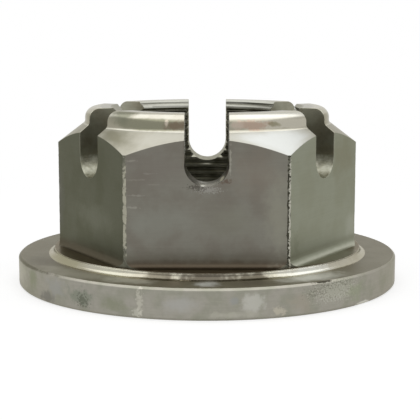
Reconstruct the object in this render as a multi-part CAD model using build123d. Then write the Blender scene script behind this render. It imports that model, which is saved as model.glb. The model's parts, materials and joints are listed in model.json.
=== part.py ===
from build123d import *
from math import cos, pi, radians, tan
import os

# Flanged castle nut, in millimetres.
# +Z runs along the thread, and the origin is the centre of the flange's underside.
# Two corners of the hexagon lie on the X axis, so two of its flats face +Y and -Y.
# The nut is made the way a turner makes it: one section is turned, the six flats are
# milled into it, and the six cotter-pin slots are milled through the crown last.

# Driving sizes
THREAD_DIAMETER = 36.0
THREAD_PITCH = 1.5
ACROSS_FLATS = 49.5
OVERALL_HEIGHT = 33.2
FLANGE_DIAMETER = 72.0
FLANGE_THICKNESS = 5.5
COLLAR_HEIGHT = 1.2
CROWN_DIAMETER = 46.2
CORNER_HEIGHT = 26.2
CONE_ANGLE = 37.2
SLOT_WIDTH = 7.7
SLOT_DEPTH = 12.3

# Edges and roots
FLANGE_CHAMFER = 0.4
COLLAR_ROOT_RADIUS = 1.1
COLLAR_LEDGE = 0.8
CORNER_LAND = 0.18
FLAT_ROOT_RADIUS = 1.2
CROWN_ROOT_RADIUS = 0.9
SHOULDER_RADIUS = 2.0
THREAD_LEAD_IN = 0.3

# Worked out from the driving sizes
FLATS = 6
FLAT_PITCH = 360 / FLATS
CORNER_RADIUS = ACROSS_FLATS / 2 / cos(pi / FLATS)
TURNED_RADIUS = CORNER_RADIUS - CORNER_LAND
COLLAR_RADIUS = TURNED_RADIUS + COLLAR_LEDGE
COLLAR_TOP = FLANGE_THICKNESS + COLLAR_HEIGHT
FLANGE_RADIUS = FLANGE_DIAMETER / 2
CROWN_RADIUS = CROWN_DIAMETER / 2
CONE_SLOPE = tan(radians(CONE_ANGLE))
CONE_FOOT = CORNER_HEIGHT + CORNER_LAND * CONE_SLOPE
CONE_TOP = CORNER_HEIGHT + (CORNER_RADIUS - CROWN_RADIUS) * CONE_SLOPE
# The bore stays plain at the thread's minor diameter, which is 1.0825 pitches under the nominal one.
BORE_RADIUS = (THREAD_DIAMETER - 1.0825 * THREAD_PITCH) / 2
LEAD_IN_RADIUS = THREAD_DIAMETER / 2 + THREAD_LEAD_IN
LEAD_IN_DEPTH = LEAD_IN_RADIUS - BORE_RADIUS
SLOT_FLOOR = OVERALL_HEIGHT - SLOT_DEPTH
CUTTER_OVERRUN = 5.0


def turned_blank():
    """Flange, collar, hexagon blank, cone and crown, turned round the bore from one section."""
    crown_root = (CROWN_RADIUS, CONE_TOP)
    crown_edge = (CROWN_RADIUS, OVERALL_HEIGHT)
    collar_root = (COLLAR_RADIUS, FLANGE_THICKNESS)
    outline = [
        (BORE_RADIUS, LEAD_IN_DEPTH),
        (LEAD_IN_RADIUS, 0),
        (FLANGE_RADIUS - FLANGE_CHAMFER, 0),
        (FLANGE_RADIUS, FLANGE_CHAMFER),
        (FLANGE_RADIUS, FLANGE_THICKNESS - FLANGE_CHAMFER),
        (FLANGE_RADIUS - FLANGE_CHAMFER, FLANGE_THICKNESS),
        collar_root,
        (COLLAR_RADIUS, COLLAR_TOP),
        (TURNED_RADIUS, COLLAR_TOP),
        (TURNED_RADIUS, CONE_FOOT),
        crown_root,
        crown_edge,
        (LEAD_IN_RADIUS, OVERALL_HEIGHT),
        (BORE_RADIUS, OVERALL_HEIGHT - LEAD_IN_DEPTH),
    ]
    section = make_face(Polyline(*outline, close=True))
    roundings = [
        (collar_root, COLLAR_ROOT_RADIUS),
        (crown_root, CROWN_ROOT_RADIUS),
        (crown_edge, SHOULDER_RADIUS),
    ]
    for corner, radius in roundings:
        section = fillet(section.vertices().sort_by_distance((*corner, 0))[0], radius)
    return revolve(Plane.XZ * section, Axis.Z)


def flat_cutter():
    """Stock to mill off one flat, with a rounded edge that leaves the cove over the collar."""
    width = FLANGE_RADIUS - ACROSS_FLATS / 2
    height = OVERALL_HEIGHT - COLLAR_TOP
    section = Rectangle(width, height, align=Align.MIN)
    section = fillet(section.vertices().sort_by_distance((0, 0, 0))[0], FLAT_ROOT_RADIUS)
    face_plane = Plane((ACROSS_FLATS / 2, 0, COLLAR_TOP), x_dir=(1, 0, 0), z_dir=(0, -1, 0))
    return extrude(face_plane * section, CORNER_RADIUS, both=True)


def slot_cutter():
    """A round-nosed cutter's path through two opposite flats, down to the slots' floor."""
    nose = Pos(0, SLOT_FLOOR + SLOT_WIDTH / 2) * Circle(SLOT_WIDTH / 2)
    above = OVERALL_HEIGHT + CUTTER_OVERRUN - SLOT_FLOOR - SLOT_WIDTH / 2
    sides = Pos(0, SLOT_FLOOR + SLOT_WIDTH / 2) * Rectangle(SLOT_WIDTH, above, align=(Align.CENTER, Align.MIN))
    return extrude(Plane.YZ * (nose + sides), CORNER_RADIUS + CUTTER_OVERRUN, both=True)


def castle_nut():
    """The whole nut: the turned blank less six flats and three cuts that make six slots."""
    nut = turned_blank()
    for index in range(FLATS):
        nut -= Rot(0, 0, (index + 0.5) * FLAT_PITCH) * flat_cutter()
    for index in range(FLATS // 2):
        nut -= Rot(0, 0, (index + 0.5) * FLAT_PITCH) * slot_cutter()
    return nut


os.makedirs("parts", exist_ok=True)
nut = castle_nut()
nut.label = "castle_nut"
export_step(nut, "parts/castle_nut.step")
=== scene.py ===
import json
import logging
from dataclasses import dataclass, field, replace
from enum import Enum
from math import ceil, cos, pi, radians, sin, sqrt, tan
from typing import Callable

import bmesh
import bpy
import numpy as np
from numpy.typing import NDArray
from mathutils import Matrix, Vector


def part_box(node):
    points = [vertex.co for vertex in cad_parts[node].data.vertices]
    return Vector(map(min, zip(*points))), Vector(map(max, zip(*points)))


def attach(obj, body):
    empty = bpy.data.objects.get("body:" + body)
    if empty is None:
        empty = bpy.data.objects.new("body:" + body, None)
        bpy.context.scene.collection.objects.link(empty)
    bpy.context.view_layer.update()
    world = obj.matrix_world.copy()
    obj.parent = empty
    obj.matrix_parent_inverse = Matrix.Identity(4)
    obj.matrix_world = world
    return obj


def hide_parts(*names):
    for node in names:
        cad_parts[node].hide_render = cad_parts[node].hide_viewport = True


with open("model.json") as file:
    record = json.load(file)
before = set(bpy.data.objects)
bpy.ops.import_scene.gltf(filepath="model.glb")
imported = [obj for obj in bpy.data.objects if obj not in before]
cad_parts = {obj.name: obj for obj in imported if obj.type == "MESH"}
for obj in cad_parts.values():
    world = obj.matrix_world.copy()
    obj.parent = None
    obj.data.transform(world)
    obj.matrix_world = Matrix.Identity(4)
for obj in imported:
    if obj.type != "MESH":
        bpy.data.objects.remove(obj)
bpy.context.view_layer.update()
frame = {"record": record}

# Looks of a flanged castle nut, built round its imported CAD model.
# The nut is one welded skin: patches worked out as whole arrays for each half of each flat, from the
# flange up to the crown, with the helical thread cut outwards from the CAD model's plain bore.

MM = 0.001
WELD_GAP = 1e-6
Array = NDArray[np.float64]
log = logging.getLogger("castle_nut")


class Surface(Enum):
    """The nut's surfaces, each with its own finish; the value is the first material index."""

    FLAT = 0
    CORNER = 6
    CONE = 7
    CROWN = 8
    SLOT_WALL = 9
    SLOT_FLOOR = 10
    SCUFFED_FLOOR = 11
    THREAD = 12
    LEDGE = 13
    COLLAR = 14
    FLANGE_TOP = 15
    RIM = 16
    UNDERSIDE = 17


@dataclass(frozen=True)
class NutSizes:
    """Sizes of the nut in metres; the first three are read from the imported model."""

    flange_radius: float
    height: float
    bore_radius: float
    thread_diameter: float = 36.0 * MM
    thread_pitch: float = 1.5 * MM
    across_flats: float = 49.5 * MM
    flange_thickness: float = 5.5 * MM
    flange_chamfer: float = 0.4 * MM
    collar_height: float = 1.2 * MM
    collar_root: float = 1.1 * MM
    collar_ledge: float = 0.8 * MM
    corner_land: float = 0.18 * MM
    flat_root: float = 1.2 * MM
    corner_height: float = 26.2 * MM
    cone_angle: float = radians(37.2)
    crown_diameter: float = 46.2 * MM
    crown_root: float = 0.9 * MM
    shoulder: float = 2.0 * MM
    slot_width: float = 7.7 * MM
    slot_depth: float = 12.3 * MM
    lead_in: float = 0.3 * MM

    @classmethod
    def from_frame(cls) -> "NutSizes":
        """Takes the flange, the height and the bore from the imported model.

        Returns:
            The sizes of this nut.
        """
        low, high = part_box("castle_nut")
        bore = next(m for m in frame["record"]["mounts"] if m["name"] == "thread")
        return cls(float(high.x), float(high.z - low.z), bore["dims"]["r_mm"] * MM)

    @property
    def half_flats(self) -> float:
        """Distance from the axis to a flat."""
        return self.across_flats / 2

    @property
    def corner_radius(self) -> float:
        """Radius of the sharp hexagon's corners."""
        return self.half_flats / cos(pi / 6)

    @property
    def turned_radius(self) -> float:
        """Radius to which the corners were turned."""
        return self.corner_radius - self.corner_land

    @property
    def collar_radius(self) -> float:
        """Radius of the ridge under the flats."""
        return self.turned_radius + self.collar_ledge

    @property
    def collar_top(self) -> float:
        """Height of the ledge under the flats."""
        return self.flange_thickness + self.collar_height

    @property
    def flat_foot(self) -> float:
        """Height at which the flats meet their coves."""
        return self.collar_top + self.flat_root

    @property
    def crown_radius(self) -> float:
        """Radius of the crown's neck."""
        return self.crown_diameter / 2

    @property
    def slot_half(self) -> float:
        """Half the width of a slot."""
        return self.slot_width / 2

    @property
    def slot_axis(self) -> float:
        """Height of the axis of the slots' round floors."""
        return self.height - self.slot_depth + self.slot_half

    @property
    def thread_radius(self) -> float:
        """Radius of the thread's root."""
        return self.thread_diameter / 2

    @property
    def mouth_radius(self) -> float:
        """Radius of the bore's mouths, where the lead-ins start."""
        return self.thread_radius + self.lead_in

    def cone_height(self, radius: Array) -> Array:
        """Height of the cone at a radius: it rises from the corners at the cone's angle."""
        return self.corner_height + (self.corner_radius - radius) * tan(self.cone_angle)


@dataclass(frozen=True)
class Divisions:
    """How finely the borders that the patches share are divided."""

    flat: int = 14
    crowding: float = 1.35
    land: int = 3
    slot_turn: int = 16
    flat_low: int = 16
    flat_high: int = 9
    cove: int = 6
    cone: int = 8

    def flat_shares(self) -> Array:
        """Shares of the way from a flat's middle, or its slot, to its corner, crowded at the start."""
        return np.linspace(0, 1, self.flat + 1) ** self.crowding

    def land_shares(self) -> Array:
        """Shares of the way across half of a corner."""
        return np.linspace(0, 1, self.land + 1)

    def slot_turns(self) -> Array:
        """Angles round the slot's floor, from its lowest line to its wall."""
        return np.linspace(0, pi / 2, self.slot_turn + 1)


@dataclass(frozen=True)
class HalfSector:
    """Half of one sixth of the nut, from the middle of a flat to one of its corners.

    Points are given by their distance out along the flat's normal, their distance across from the
    flat's middle line towards this half's corner, and their height.
    """

    index: int
    side: int

    @property
    def normal(self) -> float:
        """Angle of the flat's normal from the row's X axis."""
        return (self.index + 0.5) * pi / 3

    def place(self, out: Array, across: Array, height: Array) -> Array:
        """Turns out, across and height into points of the row frame.

        Args:
            out: Distances along the flat's normal.
            across: Distances from the flat's middle line.
            height: Heights above the flange's underside.

        Returns:
            Points, with x, y and z along the last axis.
        """
        out, across, height = np.broadcast_arrays(out, self.side * across, height)
        c, s = cos(self.normal), sin(self.normal)
        return np.stack([out * c - across * s, out * s + across * c, height], axis=-1)

    def place_round(self, radius: Array, turn: Array, height: Array) -> Array:
        """Places points given by radius, angle from the flat's normal and height."""
        return self.place(radius * np.cos(turn), radius * np.sin(turn), height)

    def world_angle(self, turn: Array) -> Array:
        """Angle from the row's X axis of an angle from the flat's normal."""
        return self.normal + self.side * turn


def arc(centre: tuple[float, float], radius: float, start: float, end: float, steps: int) -> Array:
    """Points on an arc of a section: centre plus radius times the cosine and sine of the angle.

    Args:
        centre: Radius and height of the arc's centre.
        radius: The arc's radius.
        start: First angle, in degrees from the outward direction.
        end: Last angle, in degrees.
        steps: Number of steps between the two.

    Returns:
        Rows of radius and height.
    """
    angle = np.radians(np.linspace(start, end, steps + 1))
    return np.stack([centre[0] + radius * np.cos(angle), centre[1] + radius * np.sin(angle)], axis=1)


def between(first: Array, last: Array, steps: int) -> Array:
    """Evenly spaced points from first to last: first plus a share of the difference."""
    share = np.linspace(0, 1, steps + 1)[:, None]
    return np.asarray(first) + share * (np.asarray(last) - np.asarray(first))


def paired(first: Array, second: Array) -> Array:
    """Joins two sets of values, spread to the same rows and columns, along a new last axis."""
    return np.stack(np.broadcast_arrays(first, second), axis=-1)


def run_length(points: Array) -> Array:
    """Length along a line of points, from its first point to each of them."""
    steps = np.linalg.norm(np.diff(points, axis=0), axis=-1)
    return np.concatenate([[0.0], np.cumsum(steps)])


@dataclass
class Patchwork:
    """Gathers grids and flat outlines of points, and welds them into one closed mesh."""

    points: list[Array] = field(default_factory=list)
    charts: list[Array] = field(default_factory=list)
    faces: list[list[int]] = field(default_factory=list)
    slots: list[int] = field(default_factory=list)
    count: int = 0

    def add_grid(self, grid: Array, chart: Array, slot: int) -> None:
        """Adds a grid of points, with a face between each four neighbours.

        Args:
            grid: Rows and columns of points.
            chart: The same rows and columns of flat coordinates, in metres on the surface.
            slot: Index of the finish.
        """
        rows, columns = grid.shape[:2]
        index = np.arange(rows * columns).reshape(rows, columns) + self.count
        quads = np.stack([index[:-1, :-1], index[:-1, 1:], index[1:, 1:], index[1:, :-1]], axis=-1)
        self._add(grid.reshape(-1, 3), chart.reshape(-1, 2), quads.reshape(-1, 4).tolist(), slot)

    def add_outline(self, outline: Array, chart: Array, slot: int) -> None:
        """Adds one flat face with the outline's points as its corners, leaving out repeated points."""
        apart = np.linalg.norm(outline - np.roll(outline, 1, axis=0), axis=1) > WELD_GAP
        corners = (np.arange(int(apart.sum())) + self.count).tolist()
        self._add(outline[apart], chart[apart], [corners], slot)

    def _add(self, points: Array, chart: Array, faces: list[list[int]], slot: int) -> None:
        """Keeps the points, their chart and the faces on them."""
        self.points.append(points)
        self.charts.append(chart)
        self.faces.extend(faces)
        self.slots.extend([slot] * len(faces))
        self.count += len(points)

    def weld(self, name: str) -> bpy.types.Mesh:
        """Joins the patches along their shared borders and turns every face outwards.

        Args:
            name: Name of the mesh.

        Returns:
            The closed mesh, with its chart as a UV map.
        """
        mesh = bpy.data.meshes.new(name)
        mesh.from_pydata(np.concatenate(self.points), [], self.faces)
        mesh.polygons.foreach_set("material_index", np.array(self.slots, np.int32))
        corner = read(mesh.loops, "vertex_index", 1, np.int32)
        chart = np.concatenate(self.charts)[corner].astype(np.float32)
        mesh.uv_layers.new(name="chart", do_init=False).uv.foreach_set("vector", chart.ravel())
        work = bmesh.new()
        work.from_mesh(mesh)
        bmesh.ops.remove_doubles(work, verts=work.verts, dist=WELD_GAP)
        bmesh.ops.recalc_face_normals(work, faces=work.faces)
        loose = sum(1 for edge in work.edges if not edge.is_manifold)
        work.to_mesh(mesh)
        work.free()
        log.info("%s: %d faces, %d open edges", name, len(mesh.polygons), loose)
        return mesh


@dataclass(frozen=True)
class TurnedBase:
    """The flange and the collar's turned fillet, from the underside's rim up to the ridge."""

    sizes: NutSizes
    root_steps: int = 7
    rim_steps: int = 8
    top_steps: int = 8

    def sections(self) -> list[tuple[Array, Surface]]:
        """The turned section in stretches, each with its surface."""
        z = self.sizes
        rim = z.flange_radius
        face = rim - z.flange_chamfer
        top = z.flange_thickness
        foot = z.collar_radius + z.collar_root
        root = arc((foot, top + z.collar_root), z.collar_root, 270, 180, self.root_steps)
        ridge = np.array([[z.collar_radius, z.collar_top]])
        return [
            (between((face, 0), (rim, z.flange_chamfer), 1), Surface.RIM),
            (between((rim, z.flange_chamfer), (rim, top - z.flange_chamfer), self.rim_steps), Surface.RIM),
            (between((rim, top - z.flange_chamfer), (face, top), 1), Surface.RIM),
            (between((face, top), (foot, top), self.top_steps), Surface.FLANGE_TOP),
            (np.concatenate([root, ridge]), Surface.COLLAR),
        ]

    def add(self, work: Patchwork, half: HalfSector, turns: Array) -> None:
        """Turns the section round this half sector.

        Args:
            work: Where the patches go.
            half: The half sector.
            turns: Angles of the columns from the flat's normal.
        """
        start = 0.0
        around = half.world_angle(turns) * self.sizes.flange_radius
        for section, surface in self.sections():
            grid = half.place_round(section[:, :1], turns[None, :], section[:, 1:])
            along = start + run_length(section)
            chart = paired(around[None, :], along[:, None])
            work.add_grid(grid, chart, surface.value)
            start = along[-1]


@dataclass(frozen=True)
class Hexagon:
    """The six milled flats with their coves, the turned corners and the ledge under them."""

    sizes: NutSizes
    parts: Divisions
    wear: float = 0.16 * MM
    wear_ends: float = 12.0
    bend_power: int = 6
    ledge_steps: int = 3
    seed: int = 11

    def half_width(self, out: Array) -> Array:
        """Half the flat's width where its plane cuts the turned corners: sqrt(radius² − out²)."""
        return np.sqrt(self.sizes.turned_radius**2 - np.asarray(out) ** 2)

    def cove(self) -> tuple[Array, Array]:
        """Distances out and heights of the cove's rows, a quarter circle from the ledge to the flat."""
        z = self.sizes
        turn = np.linspace(0, pi / 2, self.parts.cove + 1)
        out = z.half_flats + z.flat_root * (1 - np.sin(turn))
        return out, z.collar_top + z.flat_root * (1 - np.cos(turn))

    def foot_turns(self) -> Array:
        """Angles from the flat's normal of the columns on the ledge's inner border."""
        out = self.sizes.half_flats + self.sizes.flat_root
        edge = self.half_width(out)
        cove = np.arctan2(edge * self.parts.flat_shares(), out)
        land = cove[-1] + self.parts.land_shares() * (pi / 6 - cove[-1])
        return np.concatenate([cove, land[1:]])

    def slot_border(self) -> Array:
        """Rows of across and height up the flat's middle, round the slot's floor and up its wall."""
        z = self.sizes
        turns = self.parts.slot_turns()
        low = between((0, z.flat_foot), (0, z.slot_axis - z.slot_half), self.parts.flat_low)
        bend = np.stack([z.slot_half * np.sin(turns), z.slot_axis - z.slot_half * np.cos(turns)], axis=1)
        top = z.cone_height(np.hypot(z.half_flats, z.slot_half))
        wall = between((z.slot_half, z.slot_axis), (z.slot_half, top), self.parts.flat_high)
        return np.concatenate([low, bend[1:], wall[1:]])

    def corner_border(self, half: HalfSector) -> Array:
        """Rows of across and height up the corner's worn edge, matching the slot border's rows.

        The edge is worn in from the sharp one by random nicks, which fade to nothing at both ends.
        """
        z = self.sizes
        share = run_length(self.slot_border())
        share = share / share[-1]
        top = z.cone_height(z.turned_radius)
        height = z.flat_foot + share * (top - z.flat_foot)
        dice = np.random.default_rng(self.seed + 2 * half.index + half.side)
        nicks = dice.random(len(share)) ** 2 * np.minimum(1, self.wear_ends * share * (1 - share))
        nicks[[0, -1]] = 0
        return np.stack([self.half_width(z.half_flats) - self.wear * nicks, height], axis=1)

    def flat(self, half: HalfSector) -> tuple[Array, Array]:
        """Across and height of the flat's grid.

        Each row runs straight from the slot border to the corner border, and the upper rows bend
        until the last one lies on the cone.
        """
        z = self.sizes
        share = self.parts.flat_shares()[None, :]
        near, far = self.slot_border(), self.corner_border(half)
        across = near[:, :1] + share * (far - near)[:, :1]
        height = near[:, 1:] + share * (far - near)[:, 1:]
        rise = run_length(near)[:, None]
        bend = (rise / rise[-1]) ** self.bend_power
        crest = z.cone_height(np.hypot(z.half_flats, across[-1:]))
        return across, height + bend * (crest - height[-1:])

    def add(self, work: Patchwork, half: HalfSector) -> None:
        """Adds the ledge, cove, flat and corner of this half sector."""
        z = self.sizes
        share = self.parts.flat_shares()[None, :]
        out, height = self.cove()
        edge = self.half_width(out)
        across = edge[:, None] * share
        cove = half.place(out[:, None], across, height[:, None])
        lift = z.flat_foot - z.flat_root * pi / 2 + z.flat_root * np.linspace(0, pi / 2, len(out))
        chart = paired(half.side * across, lift[:, None])
        work.add_grid(cove, chart, Surface.FLAT.value + half.index)

        across, rise = self.flat(half)
        flat = half.place(z.half_flats, across, rise)
        work.add_grid(flat, paired(half.side * across, rise), Surface.FLAT.value + half.index)

        border = self.corner_border(half)
        out = np.concatenate([out[:-1], np.full(len(border), z.half_flats)])
        edge = np.concatenate([edge[:-1], border[:, 0]])
        level = np.concatenate([height[:-1], border[:, 1]])
        turn = np.arctan2(edge, out)[:, None]
        turn = turn + self.parts.land_shares()[None, :] * (pi / 6 - turn)
        reach = np.repeat(np.hypot(out, edge)[:, None], turn.shape[1], axis=1)
        reach[:, -1] = z.turned_radius
        reach[:, 1:-1] = (reach[:, :1] + z.turned_radius) / 2
        land = half.place_round(reach, turn, level[:, None])
        around = half.world_angle(turn) * z.turned_radius
        chart = paired(around, level[:, None])
        work.add_grid(land, chart, Surface.CORNER.value)

        turns = self.foot_turns()
        inner = np.full(len(turns), z.turned_radius)
        inner[: self.parts.flat + 1] = (z.half_flats + z.flat_root) / np.cos(turns[: self.parts.flat + 1])
        step = np.linspace(0, 1, self.ledge_steps + 1)[:, None]
        reach = inner[None, :] + step * (z.collar_radius - inner[None, :])
        ledge = half.place_round(reach, turns[None, :], z.collar_top)
        around = half.world_angle(turns)[None, :] * z.flange_radius
        chart = paired(around, reach)
        work.add_grid(ledge, chart, Surface.LEDGE.value)


@dataclass(frozen=True)
class Crown:
    """The cone over the corners and the turned crown on it, from the flats' tops to the bore's mouth."""

    sizes: NutSizes
    parts: Divisions
    root_steps: int = 6
    neck_steps: int = 2
    shoulder_steps: int = 12
    top_steps: int = 5

    def shares(self) -> tuple[Array, Array]:
        """Radius of each column at the cone's outer border, and its share of the way to the corner.

        The share goes from 0 on the slot's wall to 1 on the corner, in angle at that radius.
        """
        z = self.sizes
        edge = sqrt(z.turned_radius**2 - z.half_flats**2)
        across = z.slot_half + self.parts.flat_shares() * (edge - z.slot_half)
        turn = np.arctan2(across, z.half_flats)
        land = turn[-1] + self.parts.land_shares()[1:] * (pi / 6 - turn[-1])
        turn = np.concatenate([turn, land])
        radius = np.hypot(z.half_flats, across)
        radius = np.concatenate([radius, np.full(len(land), z.turned_radius)])
        wall = np.arcsin(z.slot_half / radius)
        return radius, (turn - wall) / (pi / 6 - wall)

    def turn(self, radius: Array, share: Array) -> Array:
        """Angle from the flat's normal at a share of the way from the slot's wall to the corner."""
        wall = np.arcsin(self.sizes.slot_half / radius)
        return wall + share * (pi / 6 - wall)

    def section(self) -> Array:
        """Radius and height of the turned rows from the cone's top to the bore's mouth."""
        z = self.sizes
        slope = z.cone_angle
        centre_r = z.crown_radius + z.crown_root
        centre_z = float(z.cone_height(np.array(centre_r))) + z.crown_root / cos(slope)
        root = arc((centre_r, centre_z), z.crown_root, 270 - np.degrees(slope), 180, self.root_steps)
        axis_r, axis_z = z.crown_radius - z.shoulder, z.height - z.shoulder
        neck = between((z.crown_radius, centre_z), (z.crown_radius, axis_z), self.neck_steps)
        shoulder = arc((axis_r, axis_z), z.shoulder, 0, 90, self.shoulder_steps)
        top = between((axis_r, z.height), (z.mouth_radius, z.height), self.top_steps)
        return np.concatenate([root, neck[1:], shoulder[1:], top[1:]])

    def grids(self) -> tuple[Array, Array, Array, Array]:
        """Radius and height of the cone's rows, and of the rows above it, one column for each share."""
        outer, _ = self.shares()
        section = self.section()
        step = np.linspace(0, 1, self.parts.cone + 1)[:, None]
        cone_r = outer[None, :] + step * (section[0, 0] - outer[None, :])
        crown_r = np.repeat(section[:, :1], len(outer), axis=1)
        crown_z = np.repeat(section[:, 1:], len(outer), axis=1)
        return cone_r, self.sizes.cone_height(cone_r), crown_r, crown_z

    def add(self, work: Patchwork, half: HalfSector) -> None:
        """Adds the cone and the crown of this half sector."""
        _, share = self.shares()
        cone_r, cone_z, crown_r, crown_z = self.grids()
        for radius, height, surface in (
            (cone_r, cone_z, Surface.CONE),
            (crown_r, crown_z, Surface.CROWN),
        ):
            turn = self.turn(radius, share[None, :])
            along = run_length(np.stack([radius[:, -1], height[:, -1]], axis=1))
            around = half.world_angle(turn) * self.sizes.crown_radius
            chart = paired(around, along[:, None])
            work.add_grid(half.place_round(radius, turn, height), chart, surface.value)

    def wall_border(self, half: HalfSector) -> Array:
        """The edge of the slot's wall up the cone and over the crown to the bore's mouth."""
        cone_r, cone_z, crown_r, crown_z = self.grids()
        radius = np.concatenate([cone_r[:, 0], crown_r[1:, 0]])
        height = np.concatenate([cone_z[:, 0], crown_z[1:, 0]])
        return half.place_round(radius, self.turn(radius, np.array(0.0)), height)


@dataclass(frozen=True)
class Bore:
    """The right-hand thread with its lead-ins, from the underside to the crown's top.

    The crest and the root are flat for twice their halves, which are shares of the pitch.
    """

    sizes: NutSizes
    parts: Divisions
    crown: Crown
    crest_half: float = 0.125
    root_half: float = 0.0625
    settling: int = 5

    def phases(self) -> Array:
        """Where the rows of one pitch lie: the edges and the middles of the crest, flanks and root."""
        crest, root = self.crest_half, self.root_half
        flank = (crest + 0.5 - root) / 2
        return np.array([-crest, crest, flank, 0.5 - root, 0.5 + root, 1 - flank])

    def depth_radius(self, phase: Array) -> Array:
        """Radius of the thread at a share of its pitch: flat crest, straight flanks and flat root."""
        z = self.sizes
        fold = np.abs((phase + 0.5) % 1.0 - 0.5)
        flank = 0.5 - self.root_half - self.crest_half
        depth = np.clip((fold - self.crest_half) / flank, 0, 1)
        return z.bore_radius + depth * (z.thread_radius - z.bore_radius)

    def surface(self, half: HalfSector, turn_at: Callable[[Array], Array], low: Array, high: Array) -> Array:
        """Grid of the thread's rows on a set of columns.

        A row keeps its place on the thread's section and climbs one pitch a turn, and is held between
        low and high. The radius is the thread's, or the lead-in's where that is larger. Angle and
        radius depend on each other in a column that runs beside a slot, so both are settled together.

        Args:
            half: The half sector.
            turn_at: Gives the columns' angles from the flat's normal at their radii.
            low: Lowest height of each column.
            high: Highest height of each column.

        Returns:
            Rows and columns of points.
        """
        z = self.sizes
        turns = np.arange(-2, ceil(z.height / z.thread_pitch) + 2)
        place = (turns[:, None] + self.phases()[None, :]).ravel()[:, None]
        radius = np.repeat(self.depth_radius(place), len(low), axis=1)
        for _ in range(self.settling):
            turn = turn_at(radius)
            climb = half.world_angle(turn) / (2 * pi)
            height = np.clip((place + climb) * z.thread_pitch, low, high)
            mouth = z.mouth_radius - np.minimum(height, z.height - height)
            radius = np.maximum(self.depth_radius(height / z.thread_pitch - climb), mouth)
        return half.place_round(radius, turn, height)

    def lower(self, half: HalfSector) -> Array:
        """The thread up to the slots' axis: columns across the slot's floor, then on to the corner."""
        z = self.sizes
        turns = self.parts.slot_turns()
        _, share = self.crown.shares()
        across = z.slot_half * np.sin(turns)

        def turn_at(radius: Array) -> Array:
            """Columns at a fixed distance across under the slot, and at a fixed share beyond it."""
            under = np.arcsin(across[None, :] / radius[:, : len(across)])
            return np.concatenate([under, self.crown.turn(radius[:, len(across) :], share[None, :])], axis=1)

        high = np.concatenate([z.slot_axis - z.slot_half * np.cos(turns), np.full(len(share), z.slot_axis)])
        return self.surface(half, turn_at, np.zeros(len(high)), high)

    def upper(self, half: HalfSector) -> Array:
        """The thread inside one side of a crown's segment, above the slots' axis."""
        z = self.sizes
        _, share = self.crown.shares()
        low = np.full(len(share), z.slot_axis)
        return self.surface(
            half, lambda radius: self.crown.turn(radius, share[None, :]), low, np.full(len(share), z.height)
        )

    def add(self, work: Patchwork, half: HalfSector) -> None:
        """Adds both stretches of the thread in this half sector."""
        for grid in (self.lower(half), self.upper(half)):
            around = np.arctan2(grid[..., 1], grid[..., 0]) * self.sizes.bore_radius
            work.add_grid(grid, paired(around, grid[..., 2]), Surface.THREAD.value)


@dataclass(frozen=True)
class Slot:
    """One side of a cotter-pin slot: half of its round floor and one wall."""

    sizes: NutSizes
    parts: Divisions
    crown: Crown
    bore: Bore
    floor_steps: int = 12
    scuffed: int = 4

    def floor(self, half: HalfSector) -> Array:
        """Grid of the floor: rows round its turn, each straight from the thread out to the flat."""
        z = self.sizes
        turns = self.parts.slot_turns()
        inner = self.bore.lower(half)[-1, : len(turns)]
        across = z.slot_half * np.sin(turns)
        height = z.slot_axis - z.slot_half * np.cos(turns)
        start = np.sqrt(inner[:, 0] ** 2 + inner[:, 1] ** 2 - across**2)
        share = np.linspace(0, 1, self.floor_steps + 1)[None, :]
        out = start[:, None] + share * (z.half_flats - start[:, None])
        return half.place(out, across[:, None], height[:, None])

    def add(self, work: Patchwork, half: HalfSector, flat_edge: Array) -> None:
        """Adds the floor and the wall.

        Args:
            work: Where the patches go.
            half: The half sector.
            flat_edge: The edge that the wall shares with the flat, from the floor up to the cone.
        """
        z = self.sizes
        floor = self.floor(half)
        c, s = cos(half.normal), sin(half.normal)
        out = floor[..., 0] * c + floor[..., 1] * s
        turned = half.side * self.parts.slot_turns()[:, None] * z.slot_half
        surface = Surface.SCUFFED_FLOOR if half.index == self.scuffed else Surface.SLOT_FLOOR
        work.add_grid(floor, paired(out, turned), surface.value)
        thread = self.bore.upper(half)[::-1, 0]
        outline = np.concatenate([floor[-1], flat_edge, self.crown.wall_border(half), thread])
        out = outline[:, 0] * c + outline[:, 1] * s
        work.add_outline(outline, paired(out, outline[:, 2]), Surface.SLOT_WALL.value)


@dataclass(frozen=True)
class Underside:
    """The flat bearing face, cut into one face for each half sector."""

    sizes: NutSizes

    def add(self, work: Patchwork, half: HalfSector, turns: Array, mouth: Array) -> None:
        """Adds the face between the rim's columns and the bore's mouth.

        Args:
            work: Where the patches go.
            half: The half sector.
            turns: Angles of the rim's columns.
            mouth: The bore's lowest points, from the flat's middle to the corner.
        """
        reach = self.sizes.flange_radius - self.sizes.flange_chamfer
        rim = half.place_round(reach, turns, 0.0)
        outline = np.concatenate([rim, mouth[::-1]])
        work.add_outline(outline, outline[:, :2], Surface.UNDERSIDE.value)


def read(items: bpy.types.bpy_prop_collection, name: str, width: int, kind: type) -> Array:
    """Reads one property of every item of a mesh, with width values for each item."""
    values = np.zeros(len(items) * width, kind)
    items.foreach_get(name, values)
    return values.reshape(-1, width) if width > 1 else values


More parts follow.
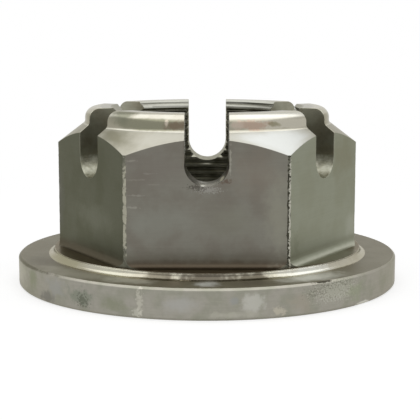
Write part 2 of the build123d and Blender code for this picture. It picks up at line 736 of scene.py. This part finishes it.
@dataclass(frozen=True)
class EdgeBreaks:
    """Small rounds on the nut's sharp edges, made by a bevel where two surfaces meet at an angle."""

    width: float = 0.11 * MM
    steps: int = 2
    least_angle: float = radians(20)
    sharp_angle: float = radians(28)

    def mark(self, mesh: bpy.types.Mesh, sizes: NutSizes) -> None:
        """Weighs the edges to round and marks the others that stay sharp.

        The angle at an edge is that between the normals of its two faces. The thread's edges stay
        sharp, and so do those in the notch between a corner and its cove, which is too small.

        Args:
            mesh: The welded skin.
            sizes: The nut's sizes.
        """
        normals = read(mesh.polygons, "normal", 3, np.float32)
        slots = read(mesh.polygons, "material_index", 1, np.int32)
        totals = read(mesh.polygons, "loop_total", 1, np.int32)
        edges = read(mesh.loops, "edge_index", 1, np.int32)
        ends = read(mesh.edges, "vertices", 2, np.int32)
        places = read(mesh.vertices, "co", 3, np.float32)
        faces = np.repeat(np.arange(len(totals)), totals)[np.argsort(edges, kind="stable")]
        first, second = faces[0::2], faces[1::2]
        angle = np.arccos(np.clip((normals[first] * normals[second]).sum(1), -1, 1))
        middle = places[ends].mean(1)
        reach = np.hypot(middle[:, 0], middle[:, 1])
        height = middle[:, 2]
        thread = (slots[first] == Surface.THREAD.value) | (slots[second] == Surface.THREAD.value)
        notch = (height > sizes.flange_thickness + sizes.collar_root / 2) & (height < sizes.flat_foot)
        notch &= reach < sizes.collar_radius - self.width
        rounded = (angle > self.least_angle) & ~thread & ~notch
        weight = mesh.attributes.new("bevel_weight_edge", "FLOAT", "EDGE")
        weight.data.foreach_set("value", rounded.astype(np.float32))
        sharp = mesh.attributes.new("sharp_edge", "BOOLEAN", "EDGE")
        sharp.data.foreach_set("value", (angle > self.sharp_angle) & ~rounded)

    def add(self, piece: bpy.types.Object) -> None:
        """Puts the bevel on the piece."""
        bevel = piece.modifiers.new("edge_breaks", "BEVEL")
        bevel.limit_method = "WEIGHT"
        bevel.width = self.width
        bevel.segments = self.steps
        bevel.use_clamp_overlap = False
        bevel.harden_normals = True
        bevel.miter_outer = "MITER_ARC"


Colour = tuple[float, float, float]
Value = float | tuple[float, ...] | bpy.types.NodeSocket


def shade(red: int, green: int, blue: int) -> Colour:
    """Turns a colour in display levels, from 0 to 255, into the linear one that shaders use."""
    level = np.array([red, green, blue]) / 255
    linear = np.where(level <= 0.04045, level / 12.92, ((level + 0.055) / 1.055) ** 2.4)
    return tuple(float(v) for v in linear)


class NodeSheet:
    """Writes one node tree; each method adds a node and returns its output."""

    def __init__(self, tree: bpy.types.NodeTree) -> None:
        """Starts with an empty tree."""
        self.tree = tree
        tree.nodes.clear()

    def add(self, kind: str, inputs: dict[str | int, Value], output: str | int = 0, **settings: str) -> Value:
        """Adds one node.

        Args:
            kind: The node's type, without its common prefix.
            inputs: Values and sockets for its inputs.
            output: Which output to return.
            **settings: Properties of the node.

        Returns:
            The output's socket.
        """
        node = self.tree.nodes.new("ShaderNode" + kind)
        for name, value in settings.items():
            setattr(node, name, value)
        for name, value in inputs.items():
            if isinstance(value, bpy.types.NodeSocket):
                self.tree.links.new(value, node.inputs[name])
            else:
                node.inputs[name].default_value = value
        return None if output is None else node.outputs[output]

    def math(self, operation: str, *values: Value) -> Value:
        """Works out one sum of up to three numbers."""
        return self.add("Math", dict(enumerate(values)), operation=operation)

    def vector(self, operation: str, first: Value, second: Value) -> Value:
        """Works out one sum of two vectors."""
        return self.add("VectorMath", {0: first, 1: second}, operation=operation)

    def noise(self, place: Value, scale: float, detail: float = 2.0, rough: float = 0.5) -> Value:
        """Smooth noise from 0 to 1, with about scale lumps for each unit of place."""
        settings = {"Vector": place, "Scale": scale, "Detail": detail, "Roughness": rough}
        return self.add("TexNoise", settings, "Fac")

    def ramp(self, value: Value, start: float, end: float, low: Value = 0.0, high: Value = 1.0) -> Value:
        """Eases from low to high as value goes from start to end, and holds beyond."""
        inputs = {"Value": value, "From Min": start, "From Max": end, "To Min": low, "To Max": high}
        return self.add("MapRange", inputs, interpolation_type="SMOOTHSTEP")

    def blend(self, share: Value, first: Value, second: Value) -> Value:
        """Mixes two colours: first at share 0 and second at share 1."""
        colours = [(*c, 1.0) if isinstance(c, tuple) else c for c in (first, second)]
        return self.add("Mix", {0: share, 6: colours[0], 7: colours[1]}, 2, data_type="RGBA")

    def finish(self, surface: Value, kind: str = "OutputMaterial") -> None:
        """Adds the output node and joins the surface to it."""
        self.add(kind, {"Surface": surface}, None)


@dataclass(frozen=True)
class Mark:
    """A stain, scar or bright spot, or a painted highlight or painted shade, at one place on a surface's
    chart, in millimetres there.

    A ragged edge wanders in and out by that share of the size, and past 1 it breaks into specks.
    """

    place: tuple[float, float]
    size: tuple[float, float]
    colour: Colour
    strength: float = 1.0
    ragged: float = 0.3
    soft: float = 0.6
    lumps: float = 1.5
    rise: float = 0.0


@dataclass(frozen=True)
class SteelFinish:
    """One finish of bare steel: its colour, its grain, how it scatters light, and its marks.

    Sizes are in millimetres. The grain is given as lumps for each millimetre along and across the
    surface's chart, so a small first number makes long streaks. Bare is the share that shines as
    clean metal, and the rest is a matt film.
    """

    name: str
    colour: Colour
    roughness: float
    cloud_colour: Colour = (0.2, 0.2, 0.2)
    cloud_share: float = 0.3
    cloud_lumps: float = 0.25
    cloud_edge: tuple[float, float] = (0.38, 0.66)
    mottle: float = 0.1
    mottle_lumps: float = 1.3
    speck_lumps: float = 5.0
    grain: tuple[float, float] = (0.12, 3.0)
    grain_tone: float = 0.1
    grain_rise: float = 0.004
    pit_rise: float = 0.003
    uneven: float = 0.06
    edge_tint: Colour = (0.75, 0.73, 0.66)
    bare: float = 1.0
    marks: tuple[Mark, ...] = ()

    def material(self) -> bpy.types.Material:
        """Builds the finish as a node material.

        Returns:
            The material, on Object coordinates for the clouds and on the chart for grain and marks.
        """
        made = bpy.data.materials.new(self.name)
        made.use_nodes = True
        sheet = NodeSheet(made.node_tree)
        to_mm = (1 / MM,) * 3
        place = sheet.vector("MULTIPLY", sheet.add("TexCoord", {}, "Object"), to_mm)
        chart = sheet.vector("MULTIPLY", sheet.add("UVMap", {}, uv_map="chart"), to_mm)
        cloud = sheet.noise(place, self.cloud_lumps, 3.0)
        mottle = sheet.noise(place, self.mottle_lumps, 4.0, 0.6)
        streak = sheet.noise(sheet.vector("MULTIPLY", chart, (*self.grain, 1.0)), 1.0, 3.0, 0.65)
        speck = sheet.noise(place, self.speck_lumps, 2.0)
        tone = sheet.math("MULTIPLY_ADD", mottle, 2 * self.mottle, 1 - self.mottle)
        lines = sheet.math("MULTIPLY_ADD", streak, 2 * self.grain_tone, 1 - self.grain_tone)
        tone = sheet.math("MULTIPLY", tone, lines)
        share = sheet.ramp(cloud, *self.cloud_edge, 0.0, self.cloud_share)
        colour = sheet.blend(share, self.colour, self.cloud_colour)
        height = sheet.math("MULTIPLY", streak, self.grain_rise)
        height = sheet.math("MULTIPLY_ADD", speck, self.pit_rise, height)
        colour = sheet.add("VectorMath", {0: colour, "Scale": tone}, operation="SCALE")
        for mark in self.marks:
            mask = self.mask(sheet, chart, mark)
            colour = sheet.blend(mask, colour, mark.colour)
            if mark.rise:
                height = sheet.math("MULTIPLY_ADD", mask, mark.rise, height)
        rough = sheet.math("MULTIPLY_ADD", mottle, 2 * self.uneven, self.roughness - self.uneven)
        normal = sheet.add("Bump", {"Strength": 1.0, "Distance": MM, "Height": height})
        shader = sheet.add(
            "BsdfPrincipled",
            {
                "Base Color": colour,
                "Metallic": self.bare,
                "Roughness": rough,
                "Normal": normal,
                "Specular Tint": (*self.edge_tint, 1.0),
            },
        )
        sheet.finish(shader)
        return made

    def mask(self, sheet: NodeSheet, chart: Value, mark: Mark) -> Value:
        """How much of a mark shows: its strength inside, easing to nothing at its ragged edge.

        Args:
            sheet: The material's nodes.
            chart: The surface's chart, in millimetres.
            mark: The mark.

        Returns:
            A share from 0 to 1.
        """
        centre = sheet.vector("SUBTRACT", chart, (*mark.place, 0.0))
        away = sheet.vector("DIVIDE", centre, (*mark.size, 1.0))
        away = sheet.add("VectorMath", {0: away}, "Value", operation="LENGTH")
        wander = sheet.noise(chart, mark.lumps, 3.0, 0.6)
        away = sheet.math("MULTIPLY_ADD", wander, 4 * mark.ragged, away)
        away = sheet.math("SUBTRACT", away, 2 * mark.ragged)
        return sheet.ramp(away, 1.0, 1.0 - mark.soft, 0.0, mark.strength)


PLAIN_FLAT = SteelFinish(
    "milled_flat_0",
    shade(116, 114, 104),
    0.38,
    cloud_colour=shade(108, 103, 94),
    cloud_share=0.6,
    cloud_lumps=0.2,
    mottle=0.08,
    grain=(0.1, 3.0),
    grain_tone=0.08,
)


def painted_foot_shade(strength: float, reach: float = 5.0) -> tuple[Mark, ...]:
    """Painted shade at the flat's foot: dark in the cove, and fainter as it fades out up the flat."""
    return (
        Mark((0.0, 6.0), (60.0, reach), shade(80, 74, 60), strength, 0.06, 1.0, 0.4),
        Mark((0.0, 6.0), (60.0, 2.6), shade(66, 57, 46), strength, 0.1, 0.5, 0.5),
    )


def flat_finishes() -> list[SteelFinish]:
    """The six flats, each with its tint and marks; the left flat's darker colour is painted shade and the
    right flat's lighter colour is painted light.
    """
    front = painted_foot_shade(0.8) + (
        Mark((-9.0, 24.0), (7.0, 5.5), shade(112, 106, 99), 0.5, 0.3, 0.9, 0.3),
        Mark((-8.0, 14.5), (7.5, 4.5), shade(127, 128, 119), 0.6, 0.3, 0.9, 0.3),
        Mark((4.0, 15.0), (6.0, 4.5), shade(120, 120, 108), 0.5, 0.3, 0.9, 0.3),
        Mark((9.0, 23.0), (6.0, 6.0), shade(122, 114, 103), 0.5, 0.3, 0.9, 0.3),
        Mark((12.4, 16.0), (3.6, 10.0), shade(134, 133, 120), 0.7, 0.3, 0.9, 0.5),
        Mark((-12.9, 25.4), (1.2, 0.2), shade(150, 146, 136), 0.45, 0.8),
        Mark((-10.0, 23.2), (1.8, 0.15), shade(140, 136, 128), 0.35, 0.8),
        Mark((-12.8, 17.3), (1.3, 0.25), shade(152, 150, 140), 0.45, 0.8),
        Mark((-12.0, 19.4), (1.6, 0.2), shade(148, 145, 136), 0.4, 0.8),
        Mark((-12.3, 22.1), (2.4, 0.15), shade(140, 136, 126), 0.3, 0.8),
        Mark((-9.2, 21.3), (1.4, 0.15), shade(140, 136, 126), 0.3, 0.8),
        Mark((3.3, 21.8), (1.0, 0.6), shade(86, 66, 55), 0.6, 0.9, 0.6, 1.8),
        # Painted highlight: a thin light line along the slot's right edge.
        Mark((4.05, 25.6), (0.2, 2.6), shade(152, 150, 139), 0.6, 0.9, 0.4, 1.4),
        Mark((0.3, 20.4), (2.0, 0.6), shade(156, 154, 148), 0.45, 1.3, 0.3, 3.6),
        Mark((-1.6, 20.8), (1.6, 0.5), shade(62, 57, 51), 0.6, 1.3, 0.3, 3.2),
    )
    left = painted_foot_shade(0.6, 3.6) + (
        Mark((-13.4, 16.0), (2.6, 9.0), shade(90, 91, 84), 0.8, 0.25, 0.9, 0.5),
        Mark((3.0, 24.0), (9.0, 7.0), shade(74, 76, 61), 0.6, 0.3, 0.9, 0.3),
        Mark((2.0, 14.0), (12.0, 3.5), shade(104, 106, 94), 0.6, 0.3, 0.9, 0.3),
    )
    # Painted light on the right flat: a lighter patch near its foot, a painted highlight in its cove and a
    # painted shade line above the cove.
    right = (
        Mark((8.5, 24.0), (7.0, 6.0), shade(120, 119, 100), 0.7, 0.3, 0.9, 0.3),
        Mark((12.0, 10.5), (4.0, 3.5), shade(150, 152, 140), 0.7, 0.3, 0.9, 0.4),
        Mark((-11.5, 10.0), (1.2, 3.0), shade(118, 121, 104), 0.6, 0.7, 0.7, 1.2),
        Mark((0.0, 8.2), (60.0, 0.9), shade(122, 124, 108), 0.6, 0.1, 0.9, 0.5),
        Mark((0.0, 6.4), (60.0, 1.2), shade(166, 168, 154), 0.9, 0.1, 0.6, 0.5),
    )
    others = painted_foot_shade(0.5)
    return [
        replace(PLAIN_FLAT, marks=others),
        replace(PLAIN_FLAT, name="milled_flat_1", colour=shade(112, 110, 100), marks=others),
        replace(PLAIN_FLAT, name="milled_flat_2", colour=shade(104, 104, 93), marks=others),
        # The left flat's darker colour is painted shade; its olive cast is its own tint.
        replace(
            PLAIN_FLAT,
            name="milled_flat_3",
            colour=shade(86, 88, 75),
            cloud_colour=shade(77, 79, 64),
            marks=left,
        ),
        replace(PLAIN_FLAT, name="milled_flat_4", colour=shade(119, 117, 108), marks=front),
        # The right flat's lighter colour is painted light.
        replace(
            PLAIN_FLAT,
            name="milled_flat_5",
            colour=shade(134, 137, 122),
            cloud_colour=shade(127, 129, 112),
            marks=right,
        ),
    ]


def corner_finish() -> SteelFinish:
    """The turned corners, with a painted highlight on the front's left one, and on its right one dark nicks
    with a painted highlight beside them.
    """
    left, right = 118.96, 148.7  # where the front's two corners lie on the chart
    return SteelFinish(
        "worn_corner_and_sheen",
        shade(98, 98, 87),
        0.38,
        cloud_colour=shade(128, 127, 113),
        cloud_share=0.7,
        cloud_lumps=0.7,
        mottle=0.2,
        grain=(1.5, 1.2),
        grain_tone=0.2,
        marks=(
            # Painted highlights on the front's two corners, beside dark nicks on the right one.
            Mark((left, 17.0), (0.7, 9.0), shade(178, 175, 158), 0.65, 0.9, 0.5, 1.1),
            Mark((right - 0.15, 16.0), (0.5, 12.0), shade(44, 42, 33), 0.85, 1.1, 0.3, 2.0),
            Mark((right + 0.25, 16.0), (0.3, 12.0), shade(200, 198, 184), 0.7, 1.2, 0.3, 2.4),
        ),
    )


def cone_finish() -> SteelFinish:
    """The turned cone, painted lighter over the front's right half as light and darker over its left as
    shade.
    """
    # Painted light on the cone's front right and painted shade on its front left.
    bright = Mark((121.0, 3.0), (10.0, 6.0), shade(184, 186, 184), 0.9, 0.12, 0.7, 0.3)
    cone_painted_shade = Mark((92.0, 3.0), (7.0, 6.0), shade(104, 102, 84), 0.8, 0.2, 0.9, 0.3)
    return SteelFinish(
        "turned_cone",
        shade(160, 158, 148),
        0.34,
        cloud_colour=shade(148, 145, 132),
        cloud_share=0.5,
        cloud_lumps=0.25,
        mottle=0.06,
        grain=(0.15, 2.5),
        grain_tone=0.06,
        marks=(bright, cone_painted_shade),
    )


def crown_finish() -> SteelFinish:
    """The turned crown. Painted light and shade: a highlight on the shoulder's right, shade on its left, and
    a neck painted darker all round, lighter on the right and darker on the left; with brown stain marks and a
    darker band round the flat top.
    """
    neck, land = 1.3, 6.8  # how far up the chart the neck and the flat top lie
    stains_and_painted_light = (
        # Painted shade round the neck, a painted highlight on the shoulder's right, and painted light and
        # shade on the neck's right and left; the brown marks are real staining.
        Mark((72.0, neck), (300.0, 1.3), shade(144, 140, 124), 0.9, 0.03, 0.4, 0.4),
        Mark((122.0, neck + 2.2), (13.0, 1.6), shade(206, 205, 197), 0.8, 0.1, 0.6, 0.4),
        Mark((124.0, neck), (14.0, 1.2), shade(181, 177, 163), 0.8, 0.15, 0.5, 0.5),
        Mark((98.5, neck), (9.5, 1.35), shade(126, 125, 107), 0.95, 0.12, 0.4, 0.5),
        Mark((103.5, neck), (3.0, 1.1), shade(107, 91, 76), 0.7, 0.4, 0.7, 0.8),
        Mark((101.8, neck + 0.5), (0.5, 0.9), shade(190, 180, 165), 0.7, 0.4, 0.6, 0.8),
        Mark((117.0, neck), (4.2, 1.2), shade(162, 140, 124), 0.8, 0.4, 0.6, 0.8),
        Mark((114.3, neck), (1.6, 1.0), shade(175, 162, 148), 0.7, 0.4, 0.6, 0.8),
        Mark((121.3, neck), (1.6, 0.6), shade(120, 115, 89), 0.7, 0.4, 0.6, 0.8),
        # Painted shade on the shoulder's left.
        Mark((92.0, neck + 2.0), (4.5, 2.8), shade(112, 113, 97), 0.85, 0.2, 0.7, 0.5),
        Mark((72.0, land), (200.0, 1.9), shade(150, 149, 141), 0.9, 0.03, 0.3, 0.4),
    )
    return SteelFinish(
        "turned_crown",
        shade(190, 188, 177),
        0.22,
        cloud_colour=shade(174, 168, 154),
        cloud_share=0.5,
        cloud_lumps=0.3,
        mottle=0.07,
        grain=(0.1, 4.0),
        grain_tone=0.07,
        marks=stains_and_painted_light,
    )


def slot_finishes() -> list[SteelFinish]:
    """The walls and the floors of the slots, with one floor scuffed and chipped."""
    wall = SteelFinish(
        "slot_wall",
        shade(146, 145, 129),
        0.36,
        cloud_colour=shade(124, 116, 98),
        cloud_share=0.5,
        cloud_lumps=0.3,
        mottle=0.12,
        grain=(0.3, 1.6),
        grain_tone=0.14,
    )
    floor = replace(
        wall,
        name="slot_floor",
        colour=shade(156, 156, 142),
        roughness=0.42,
        cloud_colour=shade(120, 118, 102),
        cloud_share=0.7,
        cloud_lumps=0.9,
        mottle=0.3,
        grain=(1.2, 1.2),
        grain_tone=0.35,
        grain_rise=0.03,
        pit_rise=0.03,
    )
    scuffed = replace(
        floor,
        name="scuffed_floor",
        colour=shade(56, 54, 47),
        cloud_colour=shade(48, 45, 38),
        marks=(
            Mark((22.0, 0.0), (3.6, 3.2), shade(32, 30, 25), 0.8, 1.1, 0.3, 2.2),
            Mark((22.8, 0.3), (2.0, 2.4), shade(150, 148, 140), 0.8, 1.6, 0.2, 3.4, 0.02),
            Mark((19.2, -0.6), (1.3, 1.1), shade(138, 140, 136), 0.8, 0.5, 0.6, 1.2),
            Mark((22.0, 3.0), (3.6, 0.7), shade(182, 178, 158), 0.9, 0.4, 0.5, 0.9),
            Mark((23.0, -2.3), (2.2, 0.9), shade(28, 26, 22), 0.9, 1.2, 0.3, 2.4),
            Mark((23.6, -0.7), (1.6, 0.45), shade(214, 214, 206), 0.9, 0.6, 0.4, 1.6),
            Mark((24.0, 4.6), (1.2, 0.8), shade(86, 56, 44), 0.8, 0.9, 0.5, 1.8),
        ),
    )
    return [wall, floor, scuffed]


def thread_finish() -> SteelFinish:
    """The cut thread, oily dark in patches, with a painted highlight on its mouth."""
    # Painted highlight on the lead-in at the bore's mouth.
    mouth = Mark((54.0, 32.8), (200.0, 1.3), shade(158, 158, 150), 0.9, 0.03, 0.3, 0.4)
    return SteelFinish(
        "cut_thread",
        shade(147, 146, 133),
        0.3,
        cloud_colour=shade(97, 95, 81),
        cloud_share=0.6,
        cloud_lumps=0.4,
        mottle=0.12,
        grain=(0.1, 4.0),
        grain_tone=0.12,
        marks=(mouth,),
    )


def collar_finishes() -> list[SteelFinish]:
    """The brownish ledge under the flats, painted lighter under the right flat, and the fillet, whose marks
    are mostly painted highlights and painted shade, dark at the front.
    """
    ledge = SteelFinish(
        "collar_ledge",
        shade(112, 102, 84),
        0.34,
        cloud_colour=shade(96, 86, 70),
        cloud_share=0.6,
        cloud_lumps=0.3,
        mottle=0.12,
        grain=(0.1, 3.0),
        grain_tone=0.1,
        # Painted light on the ledge under the right flat.
        marks=(Mark((205.0, 27.0), (17.0, 3.5), shade(160, 160, 146), 0.9, 0.2, 0.6, 0.5),),
    )
    fillet = SteelFinish(
        "collar_fillet",
        shade(176, 173, 158),
        0.2,
        cloud_colour=shade(160, 153, 136),
        cloud_share=0.5,
        cloud_lumps=0.25,
        mottle=0.1,
        grain=(0.08, 4.0),
        grain_tone=0.1,
        marks=(
            # Painted highlights and painted shade on the fillet; the olive mark at its left is its own tint.
            Mark((130.0, 11.6), (13.0, 4.0), shade(150, 146, 122), 0.9, 0.15, 0.6, 0.4),
            Mark((147.5, 11.6), (6.0, 3.0), shade(182, 180, 164), 0.85, 0.3, 0.7, 0.5),
            Mark((160.0, 11.6), (5.0, 3.0), shade(100, 94, 80), 0.85, 0.3, 0.7, 0.5),
            Mark((193.0, 11.5), (9.5, 3.0), shade(200, 200, 192), 0.85, 0.3, 0.7, 0.5),
            Mark((169.5, 11.6), (9.5, 3.0), shade(72, 66, 56), 0.9, 0.3, 0.7, 0.5),
            Mark((179.0, 11.6), (6.0, 3.0), shade(76, 70, 58), 0.9, 0.3, 0.7, 0.5),
            Mark((169.8, 11.1), (3.3, 0.6), shade(190, 192, 188), 0.85, 0.25, 0.6, 0.8),
            Mark((165.5, 11.2), (1.8, 0.6), shade(206, 198, 184), 0.8, 0.9, 0.5, 1.6),
            Mark((176.5, 11.0), (2.2, 0.5), shade(196, 190, 178), 0.8, 0.9, 0.5, 1.6),
        ),
    )
    return [ledge, fillet]


def rim_marks() -> tuple[Mark, ...]:
    """The scars, stain marks and pits round the flange's rim, with painted light and shade at its left: a
    lighter patch, a darker one low down and a dark line along the top edge.
    """
    return (
        # Painted light, then painted shade low down, on the rim's left.
        Mark((124.0, 3.5), (7.0, 3.0), shade(177, 176, 163), 0.6, 0.4, 0.8, 0.5),
        Mark((137.5, 1.4), (3.0, 1.6), shade(112, 110, 104), 0.7, 0.5, 0.7, 0.6),
        Mark((158.3, 3.0), (0.6, 2.8), shade(186, 183, 169), 0.55, 0.9, 0.5, 1.6),
        Mark((157.8, 1.2), (0.9, 0.9), shade(196, 194, 181), 0.45, 0.9, 0.5, 1.6),
        Mark((177.4, 3.1), (2.6, 2.0), shade(177, 176, 167), 0.8, 0.4, 0.6, 0.6),
        Mark((174.2, 3.6), (1.2, 1.0), shade(141, 143, 141), 0.6, 0.5, 0.8, 0.8),
        Mark((146.5, 2.8), (4.0, 2.0), shade(122, 127, 113), 0.7, 0.6, 0.7, 0.6),
        Mark((147.0, 2.2), (1.5, 1.2), shade(85, 88, 75), 0.6, 1.1, 0.5, 2.2),
        Mark((153.5, 2.0), (3.0, 1.6), shade(128, 130, 110), 0.6, 0.5, 0.7, 0.6),
        Mark((140.0, 3.5), (3.0, 2.0), shade(148, 148, 144), 0.6, 0.5, 0.7, 0.6),
        Mark((132.0, 3.5), (2.5, 2.4), shade(128, 133, 110), 0.6, 0.5, 0.7, 0.6),
        Mark((165.0, 3.0), (4.0, 2.0), shade(160, 159, 154), 0.7, 0.4, 0.8, 0.4),
        Mark((174.0, 1.2), (6.0, 0.7), shade(171, 169, 156), 0.6, 0.5, 0.8, 0.5),
        Mark((182.0, 1.4), (1.4, 0.9), shade(181, 175, 159), 0.7, 0.7, 0.6, 1.2),
        Mark((186.0, 2.5), (3.0, 2.4), shade(153, 146, 133), 0.6, 0.5, 0.8, 0.5),
        Mark((192.5, 4.0), (5.0, 1.5), shade(94, 92, 77), 0.5, 1.0, 0.5, 2.8, -0.02),
        Mark((193.5, 3.6), (5.0, 1.8), shade(183, 183, 169), 0.5, 1.1, 0.5, 3.2),
        Mark((198.5, 3.0), (3.0, 2.2), shade(138, 144, 120), 0.6, 0.5, 0.8, 0.6),
        Mark((201.0, 0.3), (2.6, 0.6), shade(207, 206, 197), 0.9, 0.3, 0.5, 1.0),
        Mark((190.5, 5.7), (2.6, 0.35), shade(37, 33, 24), 0.9, 0.6, 0.5, 1.2),
        # Painted shade along the rim's top edge at its left.
        Mark((124.0, 5.6), (20.0, 0.5), shade(62, 59, 41), 0.7, 0.3, 0.6, 0.8),
    )


def flange_finishes() -> list[SteelFinish]:
    """The flange's face, rim and underside."""
    # Painted highlights on the flange's face at the front's left and right and in line with the front slot,
    # with painted shade between them and on the left.
    top = (
        Mark((191.0, 9.0), (10.5, 3.8), shade(218, 218, 208), 0.9, 0.2, 0.9, 0.4),
        Mark((127.0, 8.5), (9.0, 4.0), shade(80, 74, 55), 0.7, 0.2, 0.9, 0.4),
        Mark((142.0, 8.5), (14.0, 4.0), shade(158, 155, 138), 0.7, 0.2, 0.9, 0.3),
        Mark((154.0, 9.2), (8.0, 3.4), shade(176, 174, 158), 0.8, 0.3, 0.8, 0.5),
        Mark((178.0, 9.0), (4.5, 2.6), shade(95, 89, 74), 0.8, 0.3, 0.7, 0.4),
        Mark((163.5, 9.0), (4.0, 2.6), shade(117, 108, 90), 0.7, 0.4, 0.8, 0.4),
        Mark((169.8, 9.2), (3.3, 3.2), shade(208, 209, 203), 0.9, 0.3, 0.9, 0.5),
    )
    face = SteelFinish(
        "flange_face",
        shade(104, 99, 80),
        0.5,
        cloud_colour=shade(114, 110, 92),
        cloud_share=0.6,
        cloud_lumps=0.2,
        mottle=0.06,
        grain=(0.06, 4.0),
        grain_tone=0.06,
        edge_tint=(1.0, 0.98, 0.93),
        bare=0.55,
        marks=top,
    )
    edge = SteelFinish(
        "flange_rim",
        shade(151, 148, 138),
        0.36,
        cloud_colour=shade(134, 135, 120),
        cloud_share=0.6,
        cloud_lumps=0.32,
        mottle=0.11,
        grain=(0.2, 2.4),
        grain_tone=0.1,
        marks=rim_marks(),
    )
    bearing = replace(face, name="bearing_face", colour=shade(148, 146, 132), marks=())
    return [face, edge, bearing]


def finishes() -> list[SteelFinish]:
    """All finishes in the order of the surfaces' material indexes."""
    top = [corner_finish(), cone_finish(), crown_finish(), *slot_finishes(), thread_finish()]
    return flat_finishes() + top + collar_finishes() + flange_finishes()


@dataclass(frozen=True)
class CastleNut:
    """The whole nut, in one piece."""

    sizes: NutSizes
    parts: Divisions = Divisions()
    edges: EdgeBreaks = EdgeBreaks()

    def build(self) -> bpy.types.Object:
        """Builds the skin from its half sectors and welds it.

        Returns:
            The finished piece.
        """
        base = TurnedBase(self.sizes)
        hexagon = Hexagon(self.sizes, self.parts)
        crown = Crown(self.sizes, self.parts)
        bore = Bore(self.sizes, self.parts, crown)
        slot = Slot(self.sizes, self.parts, crown, bore)
        underside = Underside(self.sizes)
        work = Patchwork()
        turns = hexagon.foot_turns()
        for half in (HalfSector(index, side) for index in range(6) for side in (-1, 1)):
            base.add(work, half, turns)
            hexagon.add(work, half)
            crown.add(work, half)
            bore.add(work, half)
            across, rise = hexagon.flat(half)
            wall = slice(-self.parts.flat_high - 1, None)
            slot.add(work, half, half.place(self.sizes.half_flats, across[wall, 0], rise[wall, 0]))
            underside.add(work, half, turns, bore.lower(half)[0])
        mesh = work.weld("nut_body")
        mesh.shade_smooth()
        self.edges.mark(mesh, self.sizes)
        piece = bpy.data.objects.new("nut_body", mesh)
        bpy.context.scene.collection.objects.link(piece)
        for finish in finishes():
            mesh.materials.append(finish.material())
        self.edges.add(piece)
        return piece


@dataclass(frozen=True)
class Studio:
    """A pale floor, a white surround, a soft lamp overhead and the camera."""

    camera_place: tuple[float, float, float] = (0.56 * MM, -233.0 * MM, 48.54 * MM)
    camera_dip: float = radians(8.637)
    lens: float = 104.92
    floor_size: float = 3.0
    floor_drop: float = 0.02 * MM
    floor_tone: float = 0.5
    floor_lift: float = 0.66
    floor_fade: tuple[float, float] = (0.06, 0.16)
    fill: float = 0.2
    lamp_place: tuple[float, float, float] = (0.0, -0.12, 0.6)
    lamp_size: tuple[float, float] = (1.4, 1.1)
    lamp_radiance: float = 0.95

    def camera(self) -> None:
        """Adds the camera, level from side to side and dipped towards the nut."""
        data = bpy.data.cameras.new("camera")
        data.lens = self.lens
        data.clip_start = 0.01
        camera = bpy.data.objects.new("camera", data)
        camera.location = self.camera_place
        camera.rotation_euler = (pi / 2 - self.camera_dip, 0, 0)
        bpy.context.scene.collection.objects.link(camera)
        bpy.context.scene.camera = camera

    def floor(self) -> None:
        """Adds the floor just under the nut.

        Near the nut it takes shadows; further out it fades to the surround's white.
        """
        half = self.floor_size / 2
        corners = np.array([(-1, -1), (1, -1), (1, 1), (-1, 1)]) * half
        mesh = bpy.data.meshes.new("floor")
        mesh.from_pydata([(x, y, -self.floor_drop) for x, y in corners], [], [(0, 1, 2, 3)])
        floor = bpy.data.objects.new("floor", mesh)
        bpy.context.scene.collection.objects.link(floor)
        made = bpy.data.materials.new("pale_floor")
        made.use_nodes = True
        sheet = NodeSheet(made.node_tree)
        seen = self.seen(sheet)
        place = sheet.add("TexCoord", {}, "Object")
        away = sheet.add("VectorMath", {0: place}, "Value", operation="LENGTH")
        far = sheet.ramp(away, *self.floor_fade)
        matt = sheet.add("BsdfDiffuse", {"Color": (self.floor_tone,) * 3 + (1.0,)})
        lift = sheet.add("Emission", {"Strength": sheet.math("MULTIPLY", seen, self.floor_lift)})
        near = sheet.add("AddShader", {0: matt, 1: lift})
        white = sheet.add("Emission", {"Strength": seen})
        sheet.finish(sheet.add("MixShader", {"Fac": far, 1: near, 2: white}))
        mesh.materials.append(made)

    def seen(self, sheet: NodeSheet) -> Value:
        """Is 1 for what is looked at directly, in a mirror or through glass, and 0 for lighting."""
        rays = [sheet.add("LightPath", {}, f"Is {kind} Ray") for kind in ("Camera", "Glossy", "Transmission")]
        return sheet.math("MAXIMUM", sheet.math("MAXIMUM", *rays[:2]), rays[2])

    def world(self) -> None:
        """A white surround for what is seen directly or mirrored, and a dimmer one as light."""
        world = bpy.data.worlds.new("surround")
        world.use_nodes = True
        sheet = NodeSheet(world.node_tree)
        strength = sheet.ramp(self.seen(sheet), 0.0, 1.0, self.fill, 1.0)
        sheet.finish(sheet.add("Background", {"Color": (1.0,) * 4, "Strength": strength}), "OutputWorld")
        bpy.context.scene.world = world

    def lamp(self) -> None:
        """Adds a soft lamp that faces straight down; at radiance 1 its face looks white."""
        width, depth = self.lamp_size
        data = bpy.data.lights.new("overhead_lamp", "AREA")
        data.shape = "RECTANGLE"
        data.size, data.size_y = width, depth
        data.energy = self.lamp_radiance * pi * width * depth
        lamp = bpy.data.objects.new("overhead_lamp", data)
        lamp.location = self.lamp_place
        lamp.visible_camera = False
        bpy.context.scene.collection.objects.link(lamp)

    def build(self) -> None:
        """Sets up the whole studio."""
        self.camera()
        self.floor()
        self.world()
        self.lamp()
        bpy.context.scene.view_settings.view_transform = "Standard"


def main() -> None:
    """Builds the studio and the nut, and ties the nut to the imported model."""
    logging.basicConfig(level=logging.INFO, format="%(name)s: %(message)s")
    Studio().build()
    sizes = NutSizes.from_frame()
    piece = CastleNut(sizes).build()
    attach(piece, "root")
    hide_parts("castle_nut")
    log.info("%s rides on root and replaces castle_nut", piece.name)


if __name__ == "__main__":
    main()
